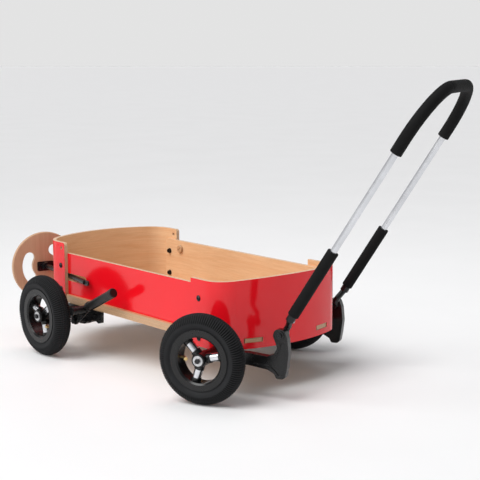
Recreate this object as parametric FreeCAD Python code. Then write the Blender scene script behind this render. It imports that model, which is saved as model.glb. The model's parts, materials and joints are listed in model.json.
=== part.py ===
"""Four-wheeled plywood wagon with a steered front axle, a U-shaped pull handle, two rear brake
levers and a stowed steering wheel.  Units are millimetres, +X is forward, +Y is left and +Z is up.
The working layout has the ground at Z = 0 and the rear axle at X = REAR_AXLE_X."""

import FreeCAD, Part
import math
import os

# ---- driving dimensions -------------------------------------------------------------------------
WHEEL_RADIUS = 128.0
TYRE_HALF_WIDTH = 29.0
TRACK_HALF = 341.5
REAR_AXLE_X = 16.0
KINGPIN_X = 622.8
REST_STEER = 26.0

PLY = 12.0
PANEL_HALF_WIDTH = 235.0
PANEL_CORNER_RADIUS = 80.0
PANEL_CORNER_SWEEP = 69.0
PANEL_BOTTOM = 132.0
FRONT_CORNER_X = 697.0
FRONT_LEG_X = 632.0
FRONT_TOP = 324.0
REAR_CORNER_X = -75.0
REAR_LEG_X = -29.0
REAR_TOP = 342.0
SIDE_HALF_WIDTH = PANEL_HALF_WIDTH - PLY
SIDE_TOP = 308.5
SIDE_REAR_X = -75.0
SIDE_FRONT_X = 690.0
DECK_TOP = 174.0
SUBFLOOR_BOTTOM = DECK_TOP - 2 * PLY
LIP_HALF_WIDTH = 235.0
TONGUE_Y = 133.0
WALL_DISC_X = 10.0

AXLE_RADIUS = 6.0
RUNNING_CLEARANCE = 0.05
BODY_GAP = 0.3
BEARING_RADIUS = 14.5
HUB_HALF_LENGTH = 28.0

ARM_INNER = 218.0
ARM_OUTER = 240.0
BOSS_CLEAR = 252.5
REAR_ARM_INNER = 216.0
REAR_ARM_OUTER = 240.0
HANDLE_PIVOT_FORWARD = 186.5
HANDLE_PIVOT_Z = 188.0
HANDLE_TILT = 58.25
HANDLE_HALF_WIDTH = 230.0
HANDLE_EYE_INNER = 196.0
HANDLE_LENGTH = 797.5
HANDLE_BEND = 155.0
LOWER_GRIP_START = 68.5
LOWER_GRIP_END = 284.5
TOP_GRIP_RIGHT = 600.5
TOP_GRIP_LEFT = 615.0
TUBE_RADIUS = 9.5
TUBE_BORE = 7.7
LOWER_GRIP_RADIUS = 15.0
TOP_GRIP_RADIUS = 16.2

BRAKE_PIVOT_X = 86.0
BRAKE_PIVOT_Z = 112.0
BRAKE_PLATE_INNER = 272.3
BRAKE_PLATE = 5.0
BRAKE_GRIP_ANGLE = 25.6

COLUMN_RADIUS = 8.5
COLUMN_ANGLE = -10.8
COLUMN_Z = 231.0
STEERING_RADIUS = 115.0
STEERING_TURN = 14.5
FINGER_MIDDLE = 62.0
FINGER_HALF_WIDTH = 18.5
FINGER_SPAN = 66.0

WHEELS = {
    "rear_right": (REAR_AXLE_X, -1, 0.0, 41.0, 318.0),
    "rear_left": (REAR_AXLE_X, 1, 0.0, 75.0, 15.0),
    "front_right": (KINGPIN_X, -1, REST_STEER, 12.5, 180.0),
    "front_left": (KINGPIN_X, 1, REST_STEER, 50.0, 230.0),
}


# ---- geometry helpers ---------------------------------------------------------------------------
def vec(x, y, z):
    return FreeCAD.Vector(x, y, z)


def block(x0, x1, y0, y1, z0, z1):
    return Part.makeBox(x1 - x0, y1 - y0, z1 - z0, vec(x0, y0, z0))


def rod(radius, start, end):
    span = end - start
    return Part.makeCylinder(radius, span.Length, start, span)


def ring(outer, inner, start, end):
    return rod(outer, start, end).cut(rod(inner, start, end))


def joined(shapes):
    result = shapes[0]
    for shape in shapes[1:]:
        result = result.fuse(shape)
    return result.removeSplitter()


def group(shapes):
    return Part.makeCompound(shapes)


def hexagon(across_flats, start, end):
    """Hexagonal prism between two points."""
    span = end - start
    corner = across_flats / math.sqrt(3.0)
    points = [vec(corner * math.cos(math.radians(60 * i)), corner * math.sin(math.radians(60 * i)), 0)
              for i in range(7)]
    prism = Part.Face(Part.makePolygon(points)).extrude(vec(0, 0, span.Length))
    prism.Placement = FreeCAD.Placement(start, FreeCAD.Rotation(vec(0, 0, 1), span))
    return prism


def rounded_edges(corners, to_space):
    """Edges of a closed flat outline.  Each corner is (u, v, rounding radius)."""
    count = len(corners)
    starts, ends, middles = [], [], []
    for i, (u, v, radius) in enumerate(corners):
        before = corners[i - 1]
        after = corners[(i + 1) % count]
        here = vec(u, v, 0)
        back = (vec(before[0], before[1], 0) - here).normalize()
        ahead = (vec(after[0], after[1], 0) - here).normalize()
        half = back.getAngle(ahead) / 2.0
        reach = radius / math.tan(half) if radius else 0.0
        bisector = (back + ahead).normalize() if radius else vec(0, 0, 0)
        starts.append(here + back * reach)
        ends.append(here + ahead * reach)
        middles.append(here + bisector * (radius / math.sin(half) - radius))
    edges = []
    for i in range(count):
        if corners[i][2]:
            edges.append(Part.Arc(to_space(starts[i]), to_space(middles[i]), to_space(ends[i])).toShape())
        following = starts[(i + 1) % count]
        if (following - ends[i]).Length > 1e-6:
            edges.append(Part.makeLine(to_space(ends[i]), to_space(following)))
    return edges


def plate_xz(corners, y0, y1):
    """Plate with a rounded outline in the XZ plane, between two Y planes."""
    edges = rounded_edges(corners, lambda p: vec(p.x, y0, p.y))
    return Part.Face(Part.Wire(edges)).extrude(vec(0, y1 - y0, 0))


def plate_xy(corners, z0, z1):
    """Plate with a rounded outline in the XY plane, between two Z planes."""
    edges = rounded_edges(corners, lambda p: vec(p.x, p.y, z0))
    return Part.Face(Part.Wire(edges)).extrude(vec(0, 0, z1 - z0))


def steered(shape):
    """Turns a piece of the straight-ahead front axle to its resting steering angle."""
    turned = shape.copy()
    turned.rotate(vec(KINGPIN_X, 0, 0), vec(0, 0, 1), REST_STEER)
    return turned


# ---- plywood body -------------------------------------------------------------------------------
def bend_points(corner_x, sign, inset):
    """Plan points on one half of a bent panel: leg, corner arc and bowed face."""
    radius = PANEL_CORNER_RADIUS - inset
    centre_y = PANEL_HALF_WIDTH - PANEL_CORNER_RADIUS
    rest = math.radians(90.0 - PANEL_CORNER_SWEEP)
    middle = math.radians(90.0 - PANEL_CORNER_SWEEP / 2.0)
    bow_radius = (centre_y + PANEL_CORNER_RADIUS * math.sin(rest)) / math.sin(rest)
    bow_centre = corner_x + sign * (PANEL_CORNER_RADIUS - bow_radius) * math.cos(rest)
    corner_start = vec(corner_x, centre_y + radius, 0)
    corner_middle = vec(corner_x + sign * radius * math.cos(middle),
                        centre_y + radius * math.sin(middle), 0)
    corner_end = vec(corner_x + sign * radius * math.cos(rest),
                     centre_y + radius * math.sin(rest), 0)
    apex = vec(bow_centre + sign * (bow_radius - inset), 0, 0)
    return corner_start, corner_middle, corner_end, apex


def bend_edges(corner_x, leg_x, sign, inset, z):
    """Plan curve of a bent panel from its right leg end round to its left leg end."""
    start, middle, end, apex = bend_points(corner_x, sign, inset)

    def left(point):
        return vec(point.x, point.y, z)

    def right(point):
        return vec(point.x, -point.y, z)

    leg = vec(leg_x, start.y, 0)
    return [
        Part.makeLine(right(leg), right(start)),
        Part.Arc(right(start), right(middle), right(end)).toShape(),
        Part.Arc(right(end), left(apex), left(end)).toShape(),
        Part.Arc(left(end), left(middle), left(start)).toShape(),
        Part.makeLine(left(start), left(leg)),
    ]


def crowned(shape, edge_top, rise):
    """Trims a panel to a gently crowned top edge."""
    half = PANEL_HALF_WIDTH + 20.0
    right = vec(-400, -half, edge_top)
    left = vec(-400, half, edge_top)
    arc = Part.Arc(right, vec(-400, 0, edge_top + rise), left).toShape()
    sides = Part.makePolygon([left, vec(-400, half, 100), vec(-400, -half, 100), right])
    keep = Part.Face(Part.Wire([arc] + sides.Edges)).extrude(vec(1400, 0, 0))
    return shape.common(keep)


def bent_panel(corner_x, leg_x, sign, edge_top, rise, leg_corners):
    outer = bend_edges(corner_x, leg_x, sign, 0.0, PANEL_BOTTOM)
    inner = bend_edges(corner_x, leg_x, sign, PLY, PANEL_BOTTOM)
    right_end = Part.makeLine(outer[0].Vertexes[0].Point, inner[0].Vertexes[0].Point)
    left_end = Part.makeLine(outer[-1].Vertexes[-1].Point, inner[-1].Vertexes[-1].Point)
    outline = Part.Wire(Part.__sortEdges__(outer + inner + [right_end, left_end]))
    panel = Part.Face(outline).extrude(vec(0, 0, 260))
    panel = crowned(panel, edge_top, rise)
    return panel.common(plate_xz(leg_corners, -300, 300))


def tongue_slots(panel, x0, x1):
    for side in (-1, 1):
        y = side * TONGUE_Y
        panel = panel.cut(block(x0, x1, y - 29, y + 29, SUBFLOOR_BOTTOM - 0.8, SUBFLOOR_BOTTOM + PLY + 0.8))
    return panel


def bolt_places():
    """X, Z and outward side of every bolt through the panel legs."""
    return [(x, z, side) for side in (-1, 1)
            for x, z in ((668.0, 271.0), (668.0, 156.0), (-52.0, 267.0), (-52.0, 190.0))]


def drill_legs(shape):
    for x, z, side in bolt_places():
        shape = shape.cut(rod(4.0, vec(x, side * 180, z), vec(x, side * 250, z)))
    return shape


def front_panel():
    corners = [(FRONT_LEG_X, PANEL_BOTTOM, 10), (900, PANEL_BOTTOM, 0), (900, 400, 0), (FRONT_LEG_X, 400, 0)]
    panel = bent_panel(FRONT_CORNER_X, FRONT_LEG_X, 1, FRONT_TOP, 9.0, corners)
    return drill_legs(tongue_slots(panel, 740, 830))


def rear_panel():
    corners = [(-300, PANEL_BOTTOM, 0), (REAR_LEG_X, PANEL_BOTTOM, 10), (REAR_LEG_X, REAR_TOP + 1.5, 12),
               (-140, REAR_TOP + 7.5, 0), (-300, REAR_TOP + 7.5, 0)]
    panel = bent_panel(REAR_CORNER_X, REAR_LEG_X, -1, REAR_TOP, 5.0, corners)
    panel = drill_legs(tongue_slots(panel, -210, -110))
    for side in (-1, 1):
        panel = panel.cut(rod(5.5, vec(-47, side * 210, 325), vec(-47, side * 250, 325)))
    return panel.cut(column_rod(COLUMN_RADIUS + 1.0, -220.0, -100.0))


def floor_plan(z0, z1, inset):
    """Floor outline that fills both bent panels and has a lip outside the side panels."""
    front = bend_edges(FRONT_CORNER_X, 300.0, 1, inset, z0)
    rear = bend_edges(REAR_CORNER_X, 300.0, -1, inset, z0)
    core = Part.Face(Part.Wire(Part.__sortEdges__(front + rear))).extrude(vec(0, 0, z1 - z0))
    ends = (REAR_LEG_X + 0.3, FRONT_LEG_X - 0.3)
    lip = plate_xy([(ends[0], -LIP_HALF_WIDTH, 12), (ends[1], -LIP_HALF_WIDTH, 12),
                    (ends[1], LIP_HALF_WIDTH, 12), (ends[0], LIP_HALF_WIDTH, 12)], z0, z1)
    return core.fuse(lip).removeSplitter()


def kingpin_hole(shape):
    return shape.cut(rod(AXLE_RADIUS, vec(KINGPIN_X, 0, 60), vec(KINGPIN_X, 0, 260)))


def deck():
    return kingpin_hole(floor_plan(DECK_TOP - PLY, DECK_TOP, PLY + 0.1))


def subfloor():
    """Lower board with the tongues that lock into the slots of both bent panels."""
    z0 = SUBFLOOR_BOTTOM
    board = floor_plan(z0, z0 + PLY, PLY + 0.1)
    front = bend_edges(FRONT_CORNER_X, 300.0, 1, 1.0, z0)
    rear = bend_edges(REAR_CORNER_X, 300.0, -1, 1.0, z0)
    reach = Part.Face(Part.Wire(Part.__sortEdges__(front + rear))).extrude(vec(0, 0, PLY))
    for x0, x1 in ((700, 850), (-230, -80)):
        for side in (-1, 1):
            y = side * TONGUE_Y
            board = board.fuse(block(x0, x1, y - 25, y + 25, z0, z0 + PLY).common(reach))
    board = board.removeSplitter()
    for x, z, side in bolt_places():
        if z < DECK_TOP:
            board = board.cut(rod(4.0, vec(x, side * 180, z), vec(x, side * 250, z)))
    for x, side in rear_arm_screw_places():
        board = board.cut(rod(3.0, vec(x, side * 228, 140), vec(x, side * 228, z0 + PLY - 1)))
    for x, y in turntable_screw_places():
        board = board.cut(rod(2.5, vec(x, y, 140), vec(x, y, 158)))
    return kingpin_hole(board)


def side_panel(side):
    corners = [(SIDE_REAR_X, DECK_TOP, 6), (SIDE_FRONT_X, DECK_TOP, 6), (SIDE_FRONT_X, SIDE_TOP, 12),
               (SIDE_REAR_X, SIDE_TOP, 12)]
    panel = plate_xz(corners, side * SIDE_HALF_WIDTH, side * (SIDE_HALF_WIDTH - PLY))
    panel = drill_legs(panel)
    if side < 0:
        slot = [(SIDE_REAR_X - 20, 219, 0), (80, 219, 12), (80, 243.5, 12), (SIDE_REAR_X - 20, 243.5, 0)]
        panel = panel.cut(plate_xz(slot, -SIDE_HALF_WIDTH - 5, -SIDE_HALF_WIDTH + PLY + 5))
    else:
        panel = panel.cut(rod(3.0, vec(WALL_DISC_X, 200, 281), vec(WALL_DISC_X, 230, 281)))
    return panel


def panel_bolts():
    bolts = []
    for x, z, side in bolt_places():
        face = side * PANEL_HALF_WIDTH
        depth = 180.0 if z < DECK_TOP else 206.0
        shank = rod(4.0, vec(x, side * depth, z), vec(x, face, z))
        washer = rod(8.5, vec(x, face, z), vec(x, face + side * 1.2, z))
        dome = Part.makeSphere(9.0, vec(x, face - side * 4.0, z))
        dome = dome.common(rod(7.0, vec(x, face + side * 1.2, z), vec(x, face + side * 5.2, z)))
        socket = hexagon(5.0, vec(x, face + side * 3.0, z), vec(x, face + side * 8.0, z))
        bolts.append(joined([shank, washer, dome]).cut(socket))
    return group(bolts)


def panel_nuts():
    nuts = []
    inner = SIDE_HALF_WIDTH - PLY
    for x, z, side in bolt_places():
        if z > DECK_TOP:
            flange = rod(9.0, vec(x, side * inner, z), vec(x, side * (inner - 1.5), z))
            body = hexagon(13.0, vec(x, side * (inner - 1.5), z), vec(x, side * (inner - 7.5), z))
            nuts.append(joined([flange, body]).cut(rod(4.0, vec(x, side * 200, z), vec(x, side * 230, z))))
    return group(nuts)


def wall_disc():
    """Small turned wooden disc with a slotted face, pinned to the left wall."""
    inner = SIDE_HALF_WIDTH - PLY
    x = WALL_DISC_X
    disc = rod(13.0, vec(x, inner, 281), vec(x, inner - 8, 281))
    disc = disc.makeFillet(2.0, [edge for edge in disc.Edges if abs(edge.CenterOfMass.y - inner + 8) < 0.1])
    pin = rod(3.0, vec(x, inner + 11, 281), vec(x, inner, 281))
    slash = block(x - 9, x + 9, inner - 9, inner - 6, 280, 282)
    slash.rotate(vec(x, inner, 281), vec(0, 1, 0), -40)
    return joined([disc, pin]).cut(slash)


# ---- running gear under the floor ---------------------------------------------------------------
def rear_arm_screw_places():
    return [(x, side) for side in (-1, 1) for x in (44.0, 150.0)]


def boss_end():
    """Distance from the middle plane to the face that a wheel hub runs against."""
    return TRACK_HALF - HUB_HALF_LENGTH - BODY_GAP


def rear_arm(side):
    """Moulded arm that hangs the rear axle and the brake pivot under the floor lip."""
    top = SUBFLOOR_BOTTOM - 0.05
    corners = [(-5, top, 4), (-5, 112, 12), (7, 101, 8), (40, 97, 14), (66, 95, 8), (90, 97, 12),
               (108, 108, 6), (119, 106, 7), (131, 116, 6), (157, 116, 5), (167, 111, 6), (181, 115, 7),
               (186, 134, 8), (190, 142, 3), (190, top, 2)]
    arm = plate_xz(corners, side * REAR_ARM_INNER, side * REAR_ARM_OUTER)
    axle_x = REAR_AXLE_X
    boss = rod(16.0, vec(axle_x, side * REAR_ARM_OUTER, 128), vec(axle_x, side * boss_end(), 128))
    pocket = plate_xz([(36, 108, 4), (74, 125, 6), (128, 130, 5), (166, 136, 3), (166, 141, 2), (36, 141, 4)],
                      side * (REAR_ARM_OUTER - 6), side * REAR_ARM_OUTER)
    taper = Part.Face(Part.makePolygon([vec(158, side * 215, 80), vec(191, side * 215, 80),
                                        vec(191, side * 234, 80), vec(158, side * 215, 80)]))
    arm = joined([arm, boss]).cut(pocket).cut(taper.extrude(vec(0, 0, 80)))
    arm = arm.cut(rod(AXLE_RADIUS, vec(axle_x, side * 200, 128), vec(axle_x, side * 320, 128)))
    arm = arm.cut(rod(5.0, vec(BRAKE_PIVOT_X, side * 200, BRAKE_PIVOT_Z),
                      vec(BRAKE_PIVOT_X, side * 245, BRAKE_PIVOT_Z)))
    for x, own in rear_arm_screw_places():
        if own == side:
            arm = arm.cut(rod(3.0, vec(x, side * 228, 90), vec(x, side * 228, 160)))
            arm = arm.cut(rod(5.5, vec(x, side * 228, 90), vec(x, side * 228, 124)))
    return arm


def rear_arm_screws():
    screws = []
    for x, side in rear_arm_screw_places():
        y = side * 228
        shank = rod(3.0, vec(x, y, 124), vec(x, y, 161))
        head = rod(5.4, vec(x, y, 120), vec(x, y, 124))
        screws.append(joined([shank, head]))
    return group(screws)


def rear_axle():
    half = TRACK_HALF + HUB_HALF_LENGTH
    return rod(AXLE_RADIUS, vec(REAR_AXLE_X, -half, 128), vec(REAR_AXLE_X, half, 128))


def axle_bolt(x, side):
    """Hexagon bolt that holds a wheel on its axle end."""
    end = side * (TRACK_HALF + HUB_HALF_LENGTH)
    head = hexagon(13.0, vec(x, end + side * BODY_GAP, 128), vec(x, end + side * 5.5, 128))
    neck = rod(5.0, vec(x, end, 128), vec(x, end + side * BODY_GAP, 128))
    return joined([head, neck])


def turntable_screw_places():
    return [(KINGPIN_X + dx, dy) for dx in (-47.0, 47.0) for dy in (-47.0, 47.0)]


def turntable_plate():
    top = SUBFLOOR_BOTTOM
    half = 58.0
    plate = plate_xy([(KINGPIN_X - half, -half, 10), (KINGPIN_X + half, -half, 10),
                      (KINGPIN_X + half, half, 10), (KINGPIN_X - half, half, 10)], top - 3.0, top)
    for x, y in turntable_screw_places():
        plate = plate.cut(rod(2.5, vec(x, y, 140), vec(x, y, 158)))
    return kingpin_hole(plate)


def turntable_screws():
    screws = []
    for x, y in turntable_screw_places():
        shank = rod(2.5, vec(x, y, 147), vec(x, y, 158))
        head = rod(5.0, vec(x, y, 144.2), vec(x, y, 147))
        screws.append(joined([shank, head]))
    return group(screws)


def kingpin():
    shank = rod(AXLE_RADIUS, vec(KINGPIN_X, 0, 92), vec(KINGPIN_X, 0, DECK_TOP))
    washer = rod(18.0, vec(KINGPIN_X, 0, DECK_TOP), vec(KINGPIN_X, 0, DECK_TOP + 2))
    head = hexagon(19.0, vec(KINGPIN_X, 0, DECK_TOP + 2), vec(KINGPIN_X, 0, DECK_TOP + 9))
    return joined([shank, washer, head])


def kingpin_nut():
    nut = hexagon(19.0, vec(KINGPIN_X, 0, 96.5), vec(KINGPIN_X, 0, 105))
    washer = rod(12.0, vec(KINGPIN_X, 0, 105), vec(KINGPIN_X, 0, 106.7))
    return joined([nut, washer]).cut(rod(AXLE_RADIUS, vec(KINGPIN_X, 0, 90), vec(KINGPIN_X, 0, 110)))


def front_beam():
    """Steel beam with the turntable boss that bears against the plate under the floor."""
    half = ARM_INNER
    beam = block(KINGPIN_X - 15, KINGPIN_X + 15, -half, half, 107, 129)
    flanges = [block(KINGPIN_X - 33, KINGPIN_X + 33, -half, -half + 8, 107, 129),
               block(KINGPIN_X - 33, KINGPIN_X + 33, half - 8, half, 107, 129)]
    boss = rod(42.0, vec(KINGPIN_X, 0, 122), vec(KINGPIN_X, 0, SUBFLOOR_BOTTOM - 3.4))
    web = block(KINGPIN_X - 42, KINGPIN_X + 42, -42, 42, 122, 129)
    web = web.common(rod(42.0, vec(KINGPIN_X, 0, 122), vec(KINGPIN_X, 0, 129)))
    beam = joined([beam, boss, web] + flanges)
    beam = beam.cut(rod(AXLE_RADIUS + RUNNING_CLEARANCE, vec(KINGPIN_X, 0, 90), vec(KINGPIN_X, 0, 170)))
    for x, z, side in arm_bolt_places():
        beam = beam.cut(rod(3.0, vec(x, side * (half - 12), z), vec(x, side * (half + 4), z)))
    return steered(beam)


def arm_bolt_places():
    return [(KINGPIN_X + dx, 118.0, side) for side in (-1, 1) for dx in (-24.0, 24.0)]


def front_arm(side):
    """Moulded arm from the axle stub forward to the boss of the handle pivot."""
    base = KINGPIN_X
    outline = [(-36, 100, 10), (96, 96, 20), (152, 89, 14), (172, 78, 8), (177, 65.5, 8), (203, 65.5, 13),
               (209, 96, 20), (214, 138, 40), (210, 180, 20), (201, 205, 14), (172, 205, 13),
               (167, 186, 8), (174, 170, 10), (180, 153, 12), (170, 134, 12), (150, 126.5, 16),
               (92, 131, 20), (-36, 131, 8)]
    corners = [(base + forward, z, radius) for forward, z, radius in outline]
    arm = plate_xz(corners, side * ARM_INNER, side * ARM_OUTER)
    inset = [(104, 103, 6), (156, 101, 12), (177, 83, 6), (183, 75, 5), (198, 75, 8), (202, 100, 20),
             (205, 138, 24), (202, 169, 5), (190, 168, 5), (187, 150, 12), (172, 120, 10), (104, 122, 6)]
    hollow = plate_xz([(base + forward, z, radius) for forward, z, radius in inset],
                      side * (ARM_OUTER - 3), side * ARM_OUTER)
    pivot_x = base + HANDLE_PIVOT_FORWARD
    axle_boss = rod(16.0, vec(base, side * ARM_OUTER, 128), vec(base, side * boss_end(), 128))
    reach_y = sorted((side * (ARM_OUTER - 1), side * BOSS_CLEAR))
    axle_boss = axle_boss.cut(block(base - 30, base + 30, reach_y[0], reach_y[1], 130.6, 160))
    pivot_boss = rod(14.0, vec(pivot_x, side * ARM_OUTER, HANDLE_PIVOT_Z),
                     vec(pivot_x, side * (ARM_OUTER + 3), HANDLE_PIVOT_Z))
    arm = joined([arm.cut(hollow), axle_boss, pivot_boss])
    arm = arm.cut(rod(AXLE_RADIUS, vec(base, side * (BOSS_CLEAR + 0.5), 128), vec(base, side * 330, 128)))
    arm = arm.cut(rod(5.0, vec(pivot_x, side * (ARM_INNER - 5), HANDLE_PIVOT_Z),
                      vec(pivot_x, side * (ARM_OUTER + 9), HANDLE_PIVOT_Z)))
    for x, z, own in arm_bolt_places():
        if own == side:
            arm = arm.cut(rod(3.0, vec(x, side * (ARM_INNER - 5), z), vec(x, side * (ARM_OUTER + 5), z)))
    return steered(arm)


def front_axles():
    stubs = []
    for side in (-1, 1):
        stub = rod(AXLE_RADIUS, vec(KINGPIN_X, side * (BOSS_CLEAR + 0.5), 128),
                   vec(KINGPIN_X, side * (TRACK_HALF + HUB_HALF_LENGTH), 128))
        stubs.append(steered(stub))
    return group(stubs)


def front_arm_bolts():
    bolts = []
    for x, z, side in arm_bolt_places():
        shank = rod(3.0, vec(x, side * (ARM_INNER - 11), z), vec(x, side * ARM_OUTER, z))
        head = rod(5.5, vec(x, side * ARM_OUTER, z), vec(x, side * (ARM_OUTER + 3.5), z))
        bolts.append(steered(joined([shank, head])))
    return group(bolts)


def handle_pivots():
    bolts = []
    x = KINGPIN_X + HANDLE_PIVOT_FORWARD
    for side in (-1, 1):
        def at(y):
            return vec(x, side * y, HANDLE_PIVOT_Z)

        shank = rod(5.0, at(HANDLE_EYE_INNER - 4), at(ARM_OUTER + 3))
        head = rod(8.5, at(ARM_OUTER + 3), at(ARM_OUTER + 7))
        nut = hexagon(14.0, at(HANDLE_EYE_INNER - BODY_GAP - 6.7), at(HANDLE_EYE_INNER - BODY_GAP))
        socket = hexagon(6.0, at(ARM_OUTER + 4.5), at(ARM_OUTER + 9))
        bolts.append(steered(joined([shank, head, nut]).cut(socket)))
    return group(bolts)


# ---- pull handle --------------------------------------------------------------------------------
def handle_point(lateral, reach):
    """Point in the straight-ahead handle plane, measured from the pivot axis."""
    tilt = math.radians(HANDLE_TILT)
    return vec(KINGPIN_X + HANDLE_PIVOT_FORWARD + reach * math.cos(tilt), lateral,
               HANDLE_PIVOT_Z + reach * math.sin(tilt))


def handle_sweep(radius, right_start, left_start):
    """Round bar along the bent handle, between a reach on the right leg and one on the left leg."""
    half = HANDLE_HALF_WIDTH
    bend = HANDLE_BEND
    top = HANDLE_LENGTH
    offset = bend * (1.0 - math.sqrt(0.5))
    edges = [
        Part.makeLine(handle_point(-half, right_start), handle_point(-half, top - bend)),
        Part.Arc(handle_point(-half, top - bend), handle_point(-half + offset, top - offset),
                 handle_point(-half + bend, top)).toShape(),
        Part.makeLine(handle_point(-half + bend, top), handle_point(half - bend, top)),
        Part.Arc(handle_point(half - bend, top), handle_point(half - offset, top - offset),
                 handle_point(half, top - bend)).toShape(),
        Part.makeLine(handle_point(half, top - bend), handle_point(half, left_start)),
    ]
    start = handle_point(-half, right_start)
    direction = handle_point(-half, right_start + 1) - start
    section = Part.Wire(Part.makeCircle(radius, start, direction))
    return Part.Wire(edges).makePipeShell([section], True, False)


def handle_tube():
    start = LOWER_GRIP_START - 8.5
    outside = handle_sweep(TUBE_RADIUS, start, start)
    return steered(outside.cut(handle_sweep(TUBE_BORE, start, start)))


def top_grip():
    outside = handle_sweep(TOP_GRIP_RADIUS, TOP_GRIP_RIGHT, TOP_GRIP_LEFT)
    return steered(outside.cut(handle_sweep(TUBE_RADIUS, TOP_GRIP_RIGHT, TOP_GRIP_LEFT)))


def lower_grip(side):
    lateral = side * HANDLE_HALF_WIDTH
    start = handle_point(lateral, LOWER_GRIP_START)
    return steered(ring(LOWER_GRIP_RADIUS, TUBE_RADIUS, start, handle_point(lateral, LOWER_GRIP_END)))


def handle_end(side):
    """Moulded end that plugs into the tube, steps inwards and turns on the pivot bolt."""
    lateral = side * HANDLE_HALF_WIDTH
    inward = side * 205.5
    pivot = handle_point(lateral, 0)
    eye = rod(13.0, vec(pivot.x, side * HANDLE_EYE_INNER, pivot.z),
              vec(pivot.x, side * (ARM_INNER - BODY_GAP), pivot.z))
    strap = rod(9.0, handle_point(inward, 6), handle_point(inward, 26))
    elbow = Part.makeSphere(9.0, handle_point(inward, 26))
    step = rod(9.0, handle_point(inward, 26), handle_point(lateral, 50))
    shoulder = Part.makeSphere(9.0, handle_point(lateral, 50))
    collar_start = handle_point(lateral, 50)
    collar_end = handle_point(lateral, LOWER_GRIP_START - 0.1)
    collar = rod(12.5, collar_start, collar_end)
    seat = ring(TUBE_RADIUS, TUBE_BORE, handle_point(lateral, LOWER_GRIP_START - 8.5), collar_end)
    plug = rod(TUBE_BORE, handle_point(lateral, 60), handle_point(lateral, 100))
    end = joined([eye, strap, elbow, step, shoulder, collar]).cut(seat)
    end = end.cut(rod(5.0 + RUNNING_CLEARANCE, vec(pivot.x, side * 180, pivot.z),
                      vec(pivot.x, side * 230, pivot.z)))
    return steered(joined([end, plug]).cut(rivet_rod(side, 3.5)))


def rivet_rod(side, radius):
    lateral = side * HANDLE_HALF_WIDTH
    tilt = math.radians(HANDLE_TILT)
    across = vec(-math.sin(tilt), 0, math.cos(tilt))
    centre = handle_point(lateral, 55)
    return rod(radius, centre - across * 13.4, centre - across * 8.4)


def handle_rivets():
    return group([steered(rivet_rod(side, 3.5)) for side in (-1, 1)])


# ---- wheels -------------------------------------------------------------------------------------
def revolved(edges):
    """Solid of revolution about the Y axis from a closed profile in the YZ plane."""
    return Part.Face(Part.Wire(edges)).revolve(vec(0, 0, 0), vec(0, 1, 0), 360)


def profile(points):
    spots = [vec(0, y, r) for y, r in points]
    return Part.makePolygon(spots + [spots[0]]).Edges


def arc_yz(a, b, c):
    return Part.Arc(vec(0, a[0], a[1]), vec(0, b[0], b[1]), vec(0, c[0], c[1])).toShape()


def line_yz(a, b):
    return Part.makeLine(vec(0, a[0], a[1]), vec(0, b[0], b[1]))


def tyre():
    """Pneumatic tyre carcass that is open towards the rim."""
    edges = [
        line_yz((20.9, 77), (20.9, 86)),
        arc_yz((20.9, 86), (TYRE_HALF_WIDTH, 101), (21, 119)),
        arc_yz((21, 119), (0, WHEEL_RADIUS), (-21, 119)),
        arc_yz((-21, 119), (-TYRE_HALF_WIDTH, 101), (-20.9, 86)),
        line_yz((-20.9, 86), (-20.9, 77)),
        line_yz((-20.9, 77), (-14.5, 77)),
        line_yz((-14.5, 77), (-14.5, 84)),
        arc_yz((-14.5, 84), (-24.5, 101), (-16, 115.5)),
        arc_yz((-16, 115.5), (0, 121), (16, 115.5)),
        arc_yz((16, 115.5), (24.5, 101), (14.5, 84)),
        line_yz((14.5, 84), (14.5, 77)),
        line_yz((14.5, 77), (20.9, 77)),
    ]
    return revolved(edges)


def wheel_frame(phase):
    """Black rim, hub and spoke cores in one moulding."""
    rim = revolved(profile([(21, 64), (25, 69), (25, 85.3), (21, 85.3), (21, 76.9), (8, 76.9), (6, 70),
                            (-6, 70), (-8, 76.9), (-21, 76.9), (-21, 85.3), (-25, 85.3), (-25, 69),
                            (-21, 64)]))
    hub = revolved(profile([(-27.9, BEARING_RADIUS), (-27.9, 18.5), (-24, 20.5), (24, 20.5), (27.9, 18.5),
                            (27.9, BEARING_RADIUS), (20, BEARING_RADIUS), (20, 9), (-20, 9),
                            (-20, BEARING_RADIUS)]))
    rim_space = rod(66.0, vec(0, -30, 0), vec(0, 30, 0))
    pieces = [rim, hub]
    for i in range(3):
        angle = math.radians(phase + 120 * i)
        out = vec(math.cos(angle), 0, math.sin(angle))
        pieces.append(rod(7.0, out * 19, out * 66))
        pieces.append(rod(14.0, out * 18, out * 29))
        pieces.append(rod(14.0, out * 55, out * 66).common(rim_space))
    return joined(pieces).cut(rod(9.0, vec(0, -19, 0), vec(0, 19, 0)))


def spoke_sleeves(phase):
    sleeves = []
    for i in range(3):
        angle = math.radians(phase + 120 * i)
        out = vec(math.cos(angle), 0, math.sin(angle))
        sleeves.append(ring(12.0, 7.0, out * 29, out * 55))
    return group(sleeves)


def bearings():
    rings = []
    for side in (-1, 1):
        end = vec(0, side * HUB_HALF_LENGTH, 0)
        body = ring(BEARING_RADIUS, AXLE_RADIUS + RUNNING_CLEARANCE, vec(0, side * 20, 0), end)
        groove = ring(12.0, 8.8, vec(0, side * (HUB_HALF_LENGTH - 0.8), 0), end)
        rings.append(body.cut(groove))
    return group(rings)


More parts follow.
